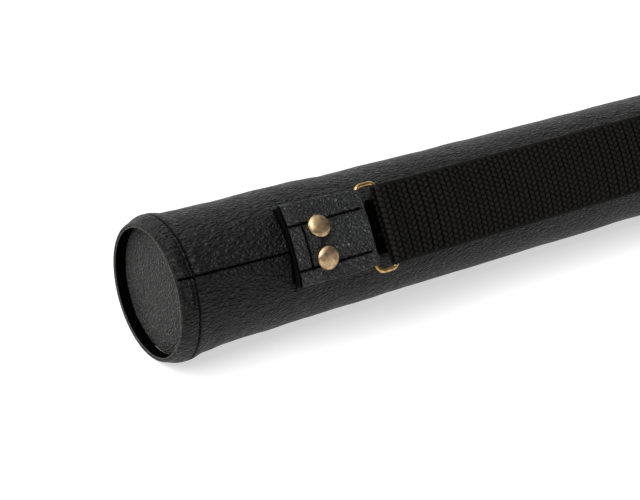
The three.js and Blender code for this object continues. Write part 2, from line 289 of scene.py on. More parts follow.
class NodeTree:
    """Adds nodes to one tree."""

    def __init__(self, tree):
        self.tree = tree

    def node(self, kind, settings=None, values=None, out=0):
        node = self.tree.nodes.new(kind)
        for key, value in (settings or {}).items():
            if key == "stops":
                self._set_stops(node.color_ramp, value)
            else:
                setattr(node, key, value)
        for key, value in (values or {}).items():
            if isinstance(value, Value):
                self.tree.links.new(value.socket, node.inputs[key])
            else:
                node.inputs[key].default_value = value
        return Value(self, node.outputs[out])

    @staticmethod
    def _set_stops(ramp, stops):
        while len(ramp.elements) < len(stops):
            ramp.elements.new(0.5)
        for element, (place, level) in zip(ramp.elements, stops):
            element.position = place
            element.color = grey(level)

# %% [markdown]
# `Finish` is a material's tree, round one Principled shader. Its methods name the few nodes that
# every finish below is made of. One of them paints shade: by a mask it turns the surface to
# lightless black, since the bottom of a stitched groove is darker than any bump can make it.

# %% A finish
class Finish(NodeTree):
    """A material with one Principled shader, built up by node()."""

    def __init__(self, name, constants=None):
        self.material = bpy.data.materials.new(name)
        self.material.use_nodes = True
        super().__init__(self.material.node_tree)
        self.shader = self.tree.nodes["Principled BSDF"]
        for key, value in (constants or {}).items():
            self.shader.inputs[key].default_value = value

    def feed(self, **links):
        for key, value in links.items():
            self.tree.links.new(value.socket, self.shader.inputs[key.replace("_", " ").title()])
        return self.material

    # Painted shade: where the mask is 1 the surface becomes a lightless black shader.
    def painted_shade_where(self, amount):
        lightless = {"Base Color": grey(0.0004), "Roughness": 0.9, "Specular IOR Level": 0.02}
        pit = self.node("ShaderNodeBsdfPrincipled", None, lightless)
        surface = Value(self, self.shader.outputs["BSDF"])
        mixed = self.node("ShaderNodeMixShader", None, {0: amount, 1: surface, 2: pit})
        self.tree.links.new(mixed.socket, self.tree.nodes["Material Output"].inputs["Surface"])

    def place(self):
        return self.node("ShaderNodeTexCoord", out="Object")

    def attribute(self, name, out="Fac"):
        return self.node("ShaderNodeAttribute", {"attribute_name": name}, out=out)

    def noise(self, scale, detail=2.0, vector=None):
        values = {"Vector": vector or self.place(), "Scale": scale, "Detail": detail}
        return self.node("ShaderNodeTexNoise", None, values, "Fac")

    def cells(self, scale, feature="DISTANCE_TO_EDGE", vector=None):
        values = {"Vector": vector or self.place(), "Scale": scale}
        return self.node("ShaderNodeTexVoronoi", {"feature": feature}, values, "Distance")

    def ramp(self, fac, *stops):
        """Stops are (place, level) pairs, from black at 0 to white at 1."""
        return self.node("ShaderNodeValToRGB", {"stops": stops}, {"Fac": fac}, "Color")

    def mix(self, fac, first, second):
        """Two colours by a mask."""
        values = {0: fac, 6: first, 7: second}
        return self.node("ShaderNodeMix", {"data_type": "RGBA"}, values, 2)

    def scaled(self, vector, amounts):
        values = {0: vector, 1: amounts}
        return self.node("ShaderNodeVectorMath", {"operation": "MULTIPLY"}, values)

    def shifted(self, vector, by):
        return self.node("ShaderNodeVectorMath", {"operation": "ADD"}, {0: vector, 1: by})

    def wobbled(self, scale, reach):
        """The object's place, pushed about by noise, so that cells lose their straight edges."""
        wobble = self.node("ShaderNodeTexNoise", None,
                           {"Vector": self.place(), "Scale": scale, "Detail": 2.0}, "Color")
        return self.shifted(self.place(), self.scaled(wobble, (reach, reach, reach)))

    def bump(self, height, distance):
        values = {"Strength": 1.0, "Distance": distance, "Height": height}
        return self.node("ShaderNodeBump", None, values)


# %% [markdown]
# ## Leatherette
# The cover is embossed plastic on cloth: black, half glossy, with a grain of small round pebbles
# between fine creases. Voronoi cells give pebbles with a crease round each; pushing their
# coordinates about with noise keeps them from looking like tiles. Where the cover is pulled, by
# the tab and the seam, the grain opens into a deeper crackle: the mesh carries an attribute,
# `crackle`, that says how much. Real relief would need millions of faces, and a bump is enough
# for so fine a grain.

# %% Leatherette finishes
def leatherette(name, black, specular, shine, pebble, depth, crackle=None):
    """pebble is in mm; crackle is the open grain's (size in mm, height), if it has any."""
    finish = Finish(name, {"Specular IOR Level": specular})
    drawn = finish.scaled(finish.wobbled(240.0, 0.0015), (0.5, 1.0, 1.0))
    edge = finish.cells(1000.0 / pebble, vector=drawn)
    dome = (edge * 2.6).at_most(1.0)
    fine = finish.noise(1500.0, 3.0)
    crease = finish.noise(330.0, 2.0, drawn)
    grain = dome * 0.5 + fine * 0.1 + crease * 1.5
    # Painted shade: the colour darkens in the crease round each pebble.
    shade = 1.0 - dome
    if crackle:
        size, height = crackle
        opened = finish.attribute("crackle")
        crack = (finish.cells(1000.0 / size, vector=finish.wobbled(330.0, 0.0012)) * 4.5).at_most(1.0)
        grain = grain + crack * opened * height
        # Painted shade: where the grain is open, its cracks are darker too.
        shade = (shade + (1.0 - crack) * opened * 0.9).at_most(1.3)
        # Painted shade: the mask carried by the mesh turns grooves, folds and the rim wall black.
        finish.painted_shade_where(finish.attribute("sewn"))
    tone = finish.noise(55.0, 3.0)
    worn = finish.mix(tone, tint(black, 0.7), tint(black, 1.5))
    colour = finish.mix(shade * 0.76, worn, tint(black, 0.1))
    rough = finish.noise(120.0, 2.0) * 0.08 + shade * 0.22 + shine
    return finish.feed(base_color=colour, roughness=rough, normal=finish.bump(grain, depth))


cover_leather = leatherette("black_leatherette", (0.0048, 0.0047, 0.0045), 0.2, 0.27, 1.7, 0.001,
                            crackle=(2.2, 0.45))
# The disc is set far lighter than the cover; part of that lightness is painted light, for light on the
# ends.
disc_leather = leatherette("disc_leatherette", (0.078, 0.078, 0.076), 0.25, 0.42, 1.7, 0.005)
tab_leather = leatherette("tab_leatherette", (0.017, 0.0187, 0.0207), 0.5, 0.27, 1.9, 0.0016,
                          crackle=(2.0, 1.5))
cut_edge = leatherette("leatherette_cut_edge", (0.09, 0.08, 0.068), 0.3, 0.4, 1.2, 0.0003)
print("leatherettes:", [cover_leather.name, disc_leather.name, tab_leather.name, cut_edge.name])

# %% [markdown]
# ## Thread
# Bonded black nylon, duller and blacker than the leather, with a twist. The twist is a wave along
# each stitch; a plain dark colour would look like a painted line.

# %% Thread finish
def thread_finish():
    finish = Finish("sewing_thread", {"Specular IOR Level": 0.12})
    twist = finish.node("ShaderNodeTexWave", {"bands_direction": "DIAGONAL"},
                        {"Vector": finish.place(), "Scale": 900.0, "Distortion": 0.6}, "Fac")
    # Painted highlight and shade: the colour is lighter on the plies and darker between them.
    colour = finish.mix(twist, grey(0.0012), (0.005, 0.0048, 0.0045, 1))
    return finish.feed(base_color=colour, roughness=twist * 0.2 + 0.45,
                       normal=finish.bump(twist, 0.00008))


thread = thread_finish()

# %% [markdown]
# ## The leather sleeve
# The cover is one sheet of leatherette, 700 mm long, sewn into a sleeve along one side and drawn
# over the tube. Its closed end is turned in over the rim and sewn 9 mm from the edge. It could be
# a cloth simulation, but the sleeve is held everywhere by the tube, so the shape is known: a
# radius for each place along and round the tube. The formula adds what the sewing does, each
# with its own line: the loose, flared end, the ridge of the seam allowance, puckers, stitches.

# %% What the sewing does to the sleeve
HEM_LINE, TACK_INSET = 9.0, 1.9
TACK_ARC = (14, 45)
STITCH = 3.1
SEAM_ANGLE = math.radians(58.4)
SEAM_DRIFT, DRIFT_OVER = 1.4, 60
LIFTED_SIDE, LOW_SIDE = math.radians(-29), math.radians(160)
UNDER_TAB = (55.5, 104)
TAB_END_X, TAB_END_ARC = (59.0, 66), (14, 47.2)


def loose_end(x, angle, amount):
    """How far the sleeve stands off the tube near the closed end, most where nothing pulls it."""
    top = eased(x, [(0, 1.0), (8.6, 3.5), (17, 2.3), (26, 1.8), (46, 1.5), (66, 1.5), (84, 1.4),
                    (104, 0.5), (150, 0.2), (190, 0.0)])
    front = eased(x, [(0, 1.0), (9, 1.1), (16, 0.5), (30, 0.35), (58, 0.2), (80, 0.0)])
    low = eased(x, [(0, 1.0), (9, 3.0), (19, 1.4), (29, 0.6), (42, 0.45), (70, 0.2), (90, 0.0)])
    at_top = np.clip(np.cos(angle - LIFTED_SIDE), 0, 1) ** 6
    at_low = np.clip(np.cos(angle - LOW_SIDE), 0, 1) ** 4
    rise = front + at_top * (top - front) + at_low * (low - front)
    return rise * amount + eased(x, [(0, 1.0), (20, 0.0)]) * (1 - amount)

# %% [markdown]
# The lengthwise seam and the hem are grooves with a hole at each stitch. Beside a groove the
# layers under the cover stand up, and where it runs under the tab they are pressed flat again.

# %% Seam and hem
def seam_place(x):
    """Arc length round the tube of the lengthwise seam, which runs a little askew."""
    return SEAM_ANGLE * CASE_R + np.clip(x, 0, DRIFT_OVER) / DRIFT_OVER * SEAM_DRIFT


def stitch_holes(x, pitch, depth):
    """A groove's depth along its stitches: full at each hole, less between them."""
    return (1 - depth) + depth * np.cos(2 * math.pi * x / pitch)


def lengthwise_seam(x, arc):
    across = arc - seam_place(x)
    groove = -1.0 * stitch_holes(x, STITCH, 0.25) * hump(across, 0, 0.45)
    widening = 0.35 + 0.65 * eased(x, [(8, 0), (50, 1)])
    allowance = 1.0 * widening * hump(across, 3.2, 2.4)
    upper_lip = 0.35 * hump(across, -1.4, 1.2)
    under_tab = between(x, *UNDER_TAB, 5)
    return (groove + allowance * (1 - 0.8 * under_tab) + upper_lip) * eased(x, [(0.8, 0), (2.2, 1)])


def hem_place(arc):
    return HEM_LINE + 0.35 * np.sin(arc / 9.0)


def hem_stitching(x, arc):
    holes = stitch_holes(arc, STITCH, 0.3)
    groove = -0.8 * holes * hump(x, hem_place(arc), 0.42)
    pillow = 0.3 * hump(x, 4.6, 2.6) + 0.2 * hump(x, 12.0, 2.2)
    back_tack = -0.6 * holes * hump(x, hem_place(arc) - TACK_INSET, 0.4)
    return groove + pillow + back_tack * between(arc, *TACK_ARC, 3)

# %% [markdown]
# Three more things are kept apart because each is seen by itself: where the cover is black with
# shade, how it bunches where the hem and the seam cross, and where its grain is dragged open.

# %% Shade, puckers and crackle
def sewn(x, arc, amount):
    """Painted shade: 1 in the bottom of the stitch grooves, and in the fold behind the base tab's free
    end.
    The lid, whose amount is less than 1, has no tab."""
    hem = 1.3 * hump(x, hem_place(arc), 0.4)
    tack = 0.8 * hump(x, hem_place(arc) - TACK_INSET, 0.4) * between(arc, *TACK_ARC, 3)
    seam = 1.4 * hump(arc - seam_place(x), 0, 0.45) * between(x, 0.5, TAB_END_X[1], 1)
    # Painted shadow in the fold behind the tab's free end.
    slanted = x + 0.06 * (arc - 12)
    crevice = between(slanted, *TAB_END_X, 1.0) * between(arc, *TAB_END_ARC, 0.8)
    behind_tab = crevice if amount == 1 else 0
    return np.clip(hem + tack + seam + behind_tab, 0, 1)


def puckers(x, arc):
    """Where hem and seam cross, the layers are bunched: bright humps, a dent and small pleats."""
    rim_hump = 1.0 * hump(x, 3.4, 1.7) * between(arc, 14, 31, 4)
    inner_hump = 0.85 * hump(x, 12.8, 2.1) * between(arc, 19, 33, 5)
    dent = -0.8 * hump(x, 3.2, 2.0) * between(arc, 34, 42, 3)
    second_dent = -0.4 * hump(x, 5.5, 1.5) * between(arc, 41, 47, 3)
    pleats = 0.05 * np.sin(2 * math.pi * arc / 3.7 + x * 0.9) * hump(x, HEM_LINE, 4.5)
    return rim_hump + inner_hump + dent + second_dent + pleats * between(arc, 8, 50, 10)


def crackled(x, arc):
    """How open the grain is: most beside the tab, where the sleeve is dragged."""
    near_tab = 0.8 * eased(x, [(34, 0), (57, 1)]) * between(arc, 14, 46, 12) * between(x, 0, 62, 4)
    near_seam = 0.8 * hump(arc - seam_place(x), 3.2, 2.6) * between(x, 14, 60, 6)
    return np.clip(near_tab + near_seam, 0, 1)


# %% [markdown]
# The sleeve's section is turned from the disc out over the rim and along to the mouth, where the
# edge is turned back under. Rows of points are close together near the stitched end and far
# apart along the plain length, because faces should go where the shape is. The wall inside the
# rim is in the dark on the real case, so its rows are blackened too.

# %% The sleeve maker
SLEEVE_COLUMNS = 420
SEAM_COLUMNS = np.arange(-3.0, 4.6, 0.2)
RIM_IN, RIM_DEPTH, SLEEVE_T = CASE_R - 1.05, 5.0, 0.7
WALL_PAINTED_SHADE = (1, 1, 1, 1, 1, 1, 1, 0.7)
FLOOR_Z = -0.0010


def sleeve_rows(length):
    near = np.arange(1.0, 20, 0.36)
    middle = np.arange(20, 64, 0.62)
    tail = np.arange(64, 126, 1.3)
    plain = np.linspace(126, length - 14, max(3, int((length - 140) / 7)))
    mouth = np.arange(length - 13.4, length - 0.5, 0.5)
    rows = np.concatenate([near, middle, tail, plain, mouth])
    return np.unique(rows[(rows < length - 0.45)])


def sleeve_angles():
    """Columns round the tube, closer together beside the lengthwise seam."""
    even = np.linspace(-math.pi, math.pi, SLEEVE_COLUMNS, endpoint=False)
    beside_seam = SEAM_ANGLE + SEAM_COLUMNS / CASE_R
    apart = even[(even < beside_seam[0] - 0.005) | (even > beside_seam[-1] + 0.005)]
    return np.sort(np.concatenate([apart, beside_seam]))


def sleeve_radius(x, angle, direction, length, amount, seed):
    """The radius of the plain and stitched rows, from just behind the rim to the mouth."""
    arc = angle * CASE_R
    spot = round_the_tube(x * MM * direction, CASE_R, angle) / MM
    radius = CASE_R + loose_end(x, angle, amount) + lengthwise_seam(x, arc)
    radius += hem_stitching(x, arc) * eased(x, [(1, 0), (3, 1)])
    radius += puckers(x, arc) * amount * eased(x, [(1, 0), (2.6, 1)])
    fade = eased(x, [(1, 0), (6, 1)]) * between(x, -9, length - 3, 4)
    radius += fade * 0.12 * unevenness(spot, 26, seed) + fade * 0.05 * unevenness(spot, 9, seed + 1)
    radius += fade * 0.06 * crackled(x, arc) * amount * unevenness(spot, 3.4, seed + 2)
    return radius - (0.45 * hump(length - x, 8.0, 0.45) - 0.12 * hump(length - x, 4.2, 2.4))


def sleeve(name, rim_x, direction, length, amount, seed):
    """direction is +1 where the case lies on the +x side of the rim."""
    angles = sleeve_angles()
    x, angle = np.meshgrid(sleeve_rows(length), angles, indexing="ij")
    radius = sleeve_radius(x, angle, direction, length, amount, seed)
    wrap = [(RIM_DEPTH + 0.3, RIM_IN - 0.05), (3.6, RIM_IN), (2.2, RIM_IN), (1.4, RIM_IN + 0.02)]
    turn = np.radians([-78, -60, -40, -25, -8, 10, 30, 52, 75])
    crest = [(1.0 - math.cos(t), CASE_R + math.sin(t)) for t in turn]
    edge = [(length - 0.12, CASE_R - 0.12), (length, CASE_R - 0.35),
            (length - 0.12, CASE_R - 0.58), (length - 0.6, CASE_R - SLEEVE_T),
            (length - 6.0, CASE_R - SLEEVE_T)]
    before, after = (np.repeat(np.array(rows)[:, :, None], len(angles), 2)
                     for rows in (wrap + crest, edge))
    xs = np.vstack([before[:, 0], x, after[:, 0]])
    radii = np.vstack([before[:, 1], radius, after[:, 1]])
    all_angles = np.repeat(angles[None], len(xs), 0)
    points = round_the_tube(rim_x + direction * xs * MM, radii, all_angles)
    points[..., 2] = np.maximum(points[..., 2], FLOOR_Z)
    crack = amount * crackled(xs, all_angles * CASE_R)
    # Painted shade: black in the stitch grooves, behind the tab's free end and on the wall inside the
    # rim.
    lines = sewn(xs, all_angles * CASE_R, amount)
    lines[:len(before)] = 0
    lines[:len(WALL_PAINTED_SHADE)] = np.array(WALL_PAINTED_SHADE)[:, None]
    return loft(name, points, caps=False, attributes={"crackle": crack, "sewn": lines})


body_sleeve = sleeve("body_leather_sleeve", BASE_X, 1, BODY_LENGTH, 1.0, seed=11)
dress(body_sleeve, cover_leather, "leatherette", "root", "body_cover")
lid_sleeve = sleeve("lid_leather_sleeve", LID_X, -1, LID_LENGTH, 0.3, seed=31)
dress(lid_sleeve, cover_leather, "leatherette", "lid", "lid_cover")

# %% [markdown]
# ## Stitches
# The hem is lock-stitched: short black threads in a groove. Each stitch is a real capsule, so it
# catches light and casts a shadow, laid a little askew as a machine lays them.

# %% Stitch maker
THREAD_T, THREAD_SUNK, HALF_STITCH = 0.42, 0.42, 1.2


def capsule(start, end, up):
    """A thread from start to end, bowed slightly up in the middle."""
    start, end, up = (np.asarray(v, float) for v in (start, end, up))
    side = np.cross(end - start, up)
    side /= np.linalg.norm(side)
    points, faces = [], []
    steps, sides, thickness = 6, 6, THREAD_T * MM
    for step in range(steps + 1):
        t = step / steps
        swell = thickness / 2 * math.sqrt(max(0.04, 1 - (2 * t - 1) ** 4))
        centre = start + (end - start) * t + up * thickness * 0.45 * (1 - (2 * t - 1) ** 2)
        for k in range(sides):
            turn = 2 * math.pi * k / sides
            points.append(centre + swell * (math.cos(turn) * side + math.sin(turn) * up))
    for step in range(steps):
        for k in range(sides):
            a, b = step * sides + k, step * sides + (k + 1) % sides
            faces.append([a, b, b + sides, a + sides])
    faces += [list(range(sides)), list(range(steps * sides, (steps + 1) * sides))[::-1]]
    return points, faces


def hem_thread(name, rim_x, direction, amount, inset, arcs):
    """A row of stitches, inset mm nearer to the rim than the hem line."""
    shapes = []
    for arc in arcs:
        ends = []
        for offset in (-HALF_STITCH, HALF_STITCH):
            a = (arc + offset) / CASE_R
            x = float(hem_place(arc + offset)) - inset
            rise = float(loose_end(np.array(x), np.array(a), amount))
            end = round_the_tube(rim_x + direction * x * MM, CASE_R + rise - THREAD_SUNK, a)
            end[2] = max(end[2], FLOOR_Z + 0.4 * MM)
            ends.append(end)
        middle = arc / CASE_R
        up = np.array((0, -math.sin(middle), math.cos(middle)))
        shapes.append(capsule(ends[0], ends[1], up))
    return merged(name, shapes)


all_round = np.arange(-math.pi * CASE_R + 1.5, math.pi * CASE_R - 1, STITCH)
tack = np.arange(TACK_ARC[0] + 1, TACK_ARC[1], STITCH)
base_hem = hem_thread("base_hem_thread", BASE_X, 1, 1.0, 0.0, all_round)
base_tack = hem_thread("base_back_tack_thread", BASE_X, 1, 1.0, TACK_INSET, tack)
lid_hem = hem_thread("lid_hem_thread", LID_X, -1, 0.3, 0.0, all_round)
for row, body in ((base_hem, "root"), (base_tack, "root"), (lid_hem, "lid")):
    dress(row, thread, "leatherette", body)

# %% [markdown]
# ## End discs
# Each closed end is a circle of finer leatherette glued over a board, 5 mm inside the rim. It is
# almost flat: a slight crown, a soft roll at its edge where it meets the rim, and the faint
# dishing of the glue. A turned grid with rings of points gives it that.

# %% End discs
def end_disc(name, face_x, outward, seed):
    t = np.linspace(0.004, 1, 46)
    angles = np.linspace(-math.pi, math.pi, 160, endpoint=False)
    reach, angle = np.meshgrid(t * (RIM_IN + 0.35), angles, indexing="ij")
    flat = round_the_tube(np.zeros_like(reach), reach, angle) / MM
    rise = 0.25 * (1 - (reach / CASE_R) ** 2) + 0.07 * unevenness(flat, 14, seed)
    rise -= 0.8 * eased(reach, [(RIM_IN - 1.4, 0), (RIM_IN + 0.4, 1)])
    front = round_the_tube(face_x + outward * rise * MM, reach, angle)
    back = round_the_tube(face_x - outward * 0.9 * MM * np.ones_like(reach), reach, angle)
    return loft(name, np.concatenate([front, back[::-1]]))


base_disc_low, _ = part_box("base_disc_cover")
_, lid_disc_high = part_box("lid_disc_cover")
base_disc = end_disc("base_disc_leather", base_disc_low[0], -1, seed=5)
dress(base_disc, disc_leather, "disc_leatherette", "root", "base_disc_cover")
lid_disc = end_disc("lid_disc_leather", lid_disc_high[0], 1, seed=6)
dress(lid_disc, disc_leather, "disc_leatherette", "lid", "lid_disc_cover")

# %% [markdown]
# ## Rim binding
# Where the cover turns in over the rim, its cut edge stands up as a thin pale line round the
# mouth of the recess; the wall behind it is in the dark. A bead this thin would be lost in the
# sleeve's own grid, so it is a ring of its own.

# %% Rim binding
BINDING_R, BINDING_AT, BINDING_IN = 0.3, 0.36, CASE_R - 0.78


def rim_binding(name, rim_x, direction, body):
    angles = np.linspace(-math.pi, math.pi, 220, endpoint=False)
    turn = np.linspace(0, 2 * math.pi, 10, endpoint=False)[:, None]
    wander = 0.06 * np.sin(angles * 7 + 0.6) + 0.04 * np.sin(angles * 17)
    radius = BINDING_IN + wander + BINDING_R * np.cos(turn)
    x = rim_x + direction * (BINDING_AT + 0.5 * wander + BINDING_R * np.sin(turn)) * MM
    ring = loft(name, round_the_tube(x, radius, angles[None] + 0 * turn), closed=True)
    dress(ring, cut_edge, "leatherette", body)


rim_binding("base_rim_binding", BASE_X, 1, "root")
rim_binding("lid_rim_binding", LID_X, -1, "lid")

# %% [markdown]
# ## What is inside
# The tube, its boards, pads, linings and the collar show only when the lid is off. Each is made
# of a plain stuff of its own: moulded plastic with faint lines from the mould, napped felt,
# pressed board and open foam. Noise at the right size tells them apart; a picture of each
# would do the same, but these hold at any distance.

# %% Finishes for the inside
def moulded_plastic(name, colour, roughness):
    finish = Finish(name)
    speck = finish.noise(900.0, 4.0)
    draw_lines = finish.noise(160.0, 2.0, finish.scaled(finish.place(), (0.05, 1.0, 1.0)))
    shade = finish.mix(draw_lines, tint(colour, 0.8), tint(colour, 1.3))
    return finish.feed(base_color=shade, roughness=speck * 0.12 + roughness,
                       normal=finish.bump(speck * 0.6 + draw_lines * 0.6, 0.00004))


def napped_felt():
    finish = Finish("napped_lining", {"Sheen Weight": 0.35, "Sheen Roughness": 0.5})
    nap = finish.noise(3200.0, 5.0)
    cloud = finish.noise(90.0, 3.0)
    shade = finish.mix(cloud, (0.006, 0.006, 0.007, 1), (0.02, 0.02, 0.022, 1))
    return finish.feed(base_color=shade, roughness=nap * 0.15 + 0.8,
                       normal=finish.bump(nap + cloud * 0.4, 0.0004))


def pressed_board():
    finish = Finish("pressed_greyboard")
    fibre = finish.noise(700.0, 5.0, finish.scaled(finish.place(), (1.0, 0.3, 1.0)))
    shade = finish.mix(fibre, (0.2, 0.15, 0.1, 1), (0.42, 0.33, 0.24, 1))
    return finish.feed(base_color=shade, roughness=fibre * 0.1 + 0.8,
                       normal=finish.bump(fibre, 0.0001))


def cell_foam():
    finish = Finish("pad_foam")
    pores = finish.cells(1600.0, "F1")
    # Painted shade: the foam is darker in the hollows between its cells, where the bump is low.
    shade = finish.mix(pores, (0.035, 0.035, 0.037, 1), (0.008, 0.008, 0.009, 1))
    return finish.feed(base_color=shade, roughness=pores * 0.1 + 0.85,
                       normal=finish.bump(1.0 - pores, 0.0004))


tube_plastic = moulded_plastic("tube_plastic", (0.03, 0.03, 0.031), 0.4)
collar_plastic = moulded_plastic("collar_plastic", (0.018, 0.018, 0.019), 0.24)
felt, board, foam = napped_felt(), pressed_board(), cell_foam()

# %% [markdown]
# The frame has the inside pieces with flats; here each is turned again as a true round, with a
# Bevel modifier for its eased edges. One maker takes each length from the frame's own boxes.

# %% Turned pieces inside
GAP, TUBE_WALL, LINING_T, COLLAR_WALL = 0.3, 2.0, 1.0, 1.5
TUBE_R = CASE_R - SLEEVE_T - GAP
BORE_R = TUBE_R - TUBE_WALL
LINING_R = BORE_R - GAP


def turned(name, node, inner, outer, material, slot, body, ease=0.25):
    low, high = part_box(node)
    x0, x1 = low[0] / MM, high[0] / MM
    section = [(x0 + ease, inner), (x0, inner + ease), (x0, outer - ease), (x0 + ease, outer),
               (x1 - ease, outer), (x1, outer - ease), (x1, inner + ease), (x1 - ease, inner)]
    if inner < 1:
        section = [(x0, 0.4), (x0, outer - ease), (x0 + ease, outer),
                   (x1 - ease, outer), (x1, outer - ease), (x1, 0.4)]
    angles = np.linspace(-math.pi, math.pi, 120, endpoint=False)
    rings = np.stack([round_the_tube(x * MM, r, angles) for x, r in section])
    piece = loft(name, rings, closed=inner >= 1)
    bend = piece.modifiers.new("eased edges", "BEVEL")
    bend.width, bend.segments, bend.limit_method = 0.12 * MM, 2, "ANGLE"
    return dress(piece, material, slot, body, node)


turned("tube_wall", "body_tube", BORE_R, TUBE_R, tube_plastic, "tube_plastic", "root")
turned("neck_collar", "mouth_collar", LINING_R - COLLAR_WALL, LINING_R, collar_plastic,
       "collar_plastic", "root", 0.5)
turned("base_end_board", "base_board", 0, LINING_R, board, "board", "root")
base_pad = turned("base_foam_pad", "base_pad", 0, LINING_R, foam, "pad_foam", "root", 0.8)
turned("body_felt", "body_lining", LINING_R - LINING_T, LINING_R, felt, "lining_felt", "root")
turned("lid_tube_wall", "lid_tube", BORE_R, TUBE_R, tube_plastic, "tube_plastic", "lid")
turned("lid_end_board", "lid_board", 0, LINING_R, board, "board", "lid")
lid_pad = turned("lid_foam_pad", "lid_pad", 0, LINING_R, foam, "pad_foam", "lid", 0.8)
turned("lid_felt", "lid_lining", LINING_R - LINING_T, LINING_R, felt, "lining_felt", "lid")

# %% [markdown]
# ## Strips: the tab, its patch and the strap
# A strip is a path seen from the side, with a thickness and a width. `strip` walks the path and
# at each step lays a closed ring of points: the face, a rounded edge, the back and the other
# edge. `relief` lifts the face for stitches, hems or weave, and `drop` bends the edges down
# round the tube. A ribbon with a Solidify modifier could do the plain parts, but the hems are
# thicker than the middle and the face needs its own relief.

# %% The strip maker
BACK_POINTS = 14


def lengths_along(points):
    return np.concatenate([[0], np.cumsum(np.linalg.norm(np.diff(points, axis=0), axis=1))])


def resampled(points, lengths, travel):
    return np.stack([np.interp(travel, lengths, points[:, i]) for i in (0, 1)], -1)


def walk(points, step):
    """Resamples a side view path of (along, high) points at even steps, with its normals."""
    points = np.array(points, float)
    lengths = lengths_along(points)
    travel = np.linspace(0, lengths[-1], int(lengths[-1] / step) + 1)
    path = resampled(points, lengths, travel)
    heading = np.gradient(path, axis=0)
    heading /= np.linalg.norm(heading, axis=1, keepdims=True)
    normals = np.stack([heading[:, 1], -heading[:, 0]], -1)
    return travel, path, normals


def arc_path(centre, radius, start, end, count):
    turn = np.radians(np.linspace(start, end, count))
    return [(centre[0] + radius * math.cos(t), centre[1] + radius * math.sin(t)) for t in turn]


def strip(name, anchor, path, step, half_width, thickness, across_step, relief, drop,
          lay=None, outside=1, attributes=None):
    """relief(travel, along, side) lifts the outer face; drop(along, side) lowers everything;
    lay(along, side) moves points sideways; outside=-1 puts the face on the path's left."""
    travel, line, normals = walk(path, step)
    normals = normals * outside
    face = np.linspace(-1, 1, int(2 * half_width / across_step) + 1)
    back = np.linspace(1, -1, BACK_POINTS)
    half = thickness / 2
    side = np.concatenate([face * (half_width - half), back * (half_width - half)])
    lift = np.concatenate([np.ones(len(face)), -np.ones(len(back))]) * half
    corner = np.radians([60, 30, 0, -30, -60])
    right = [((half_width - half) + half * math.cos(c), half * math.sin(c)) for c in corner]
    left = [(-s, -h) for s, h in right]
    ring_side = np.concatenate([side[:len(face)], [s for s, _ in right], side[len(face):],
                                [s for s, _ in left]])
    ring_lift = np.concatenate([lift[:len(face)], [h for _, h in right], lift[len(face):],
                                [h for _, h in left]])
    on_face = np.arange(len(ring_side)) < len(face)
    s = np.repeat(ring_side[None], len(travel), 0)
    u = np.repeat(travel[:, None], len(ring_side), 1)
    a = np.repeat(line[:, :1], len(ring_side), 1)
    s = lay(a, s) if lay else s
    raised = ring_lift[None] + on_face[None] * relief(u, a, s)
    along = line[:, :1] + raised * normals[:, :1]
    high = line[:, 1:] + raised * normals[:, 1:] - drop(a, s)
    made = {key: maker(u, a, s) for key, maker in (attributes or {}).items()}
    return loft(name, anchor.point(along, s, high), attributes=made)


# %% [markdown]
# ## The riveted tab
# The tab is a strip of coarse leatherette, its long edges folded under and stitched, passed
# round the ring's bar and closed on itself by two rivets. The rivets pull its middle down and
# the stiff corners stand a little off the tube. The stitching makes a panel: a line along each
# hem, 9 mm in, and one across it, 8 mm from the free edge. One strip with a relief for hems,
# grooves, dents and wrinkles makes it; a cloth simulation would not know where it is sewn.

# %% Tab
TAB_HALF, TAB_T, WIRE_R = 19.0, 1.15, 1.05
HEM_AT, CROSS_STITCH = 10.2, 7.9
RIVET_ALONG, RIVET_TILT = 16.6, math.radians(12.5)
CAP_SEAT = 35.3
RIVET_SIDE = CAP_SEAT * math.sin(RIVET_TILT)
TAB_LOW, TAB_HIGH = 32.9, 34.3
TAB_RISES = ((0, 0.6), (6, 0.25), (12, 0), (24, 0), (28, 0.1), (32, 0.55))
TAB_STITCH, OUTER_FROM, HEM_TO, CROSS_HALF = 3.4, 43, 39, 11


def tab_path():
    bar = (Anchor.TAB_TO_BAR, BAR_HIGH)
    bend = WIRE_R + TAB_T / 2 + 0.05
    lower = [(0.9, TAB_LOW - 0.3), (8, TAB_LOW), (34, TAB_LOW), (bar[0], bar[1] - bend)]
    upper = [(36, BAR_HIGH + bend - 0.45)]
    upper += [(along, TAB_HIGH + rise) for along, rise in reversed(TAB_RISES)]
    return lower + arc_path(bar, bend, -80, 80, 14) + upper


def tab_lay(along, side):
    """The tab sits a little high on its rivets and narrows between the ring's round corners."""
    return side * eased(along, [(24, 1.0), (41, 0.95)]) + eased(along, [(0, 1.9), (40, 0.9)])


def tab_drop(along, side):
    bend = (side - 1.5) ** 2 / (2 * eased(along, [(0, 74), (20, 62)]))
    return bend * eased(along, [(12, 1.0), (38, 0.34)])


def rivet_dish(along, side):
    """The dent that each rivet pulls, with small puckers round it."""
    dish = np.zeros_like(along)
    for sign in (-1, 1):
        away = np.hypot(along - RIVET_ALONG, side - sign * RIVET_SIDE)
        turn = np.arctan2(side - sign * RIVET_SIDE, along - RIVET_ALONG)
        dish += -0.7 * hump(away, 0, 7.2)
        dish += 0.2 * np.cos(7 * turn + sign) * hump(away, 8.2, 1.8)
    return dish


def hem_grooves(along, side):
    return hump(np.abs(side), HEM_AT, 0.5) * between(along, -5, HEM_TO, 1)


def cross_groove(along, side):
    return hump(along, CROSS_STITCH, 0.6) * between(side, -CROSS_HALF, CROSS_HALF, 1)


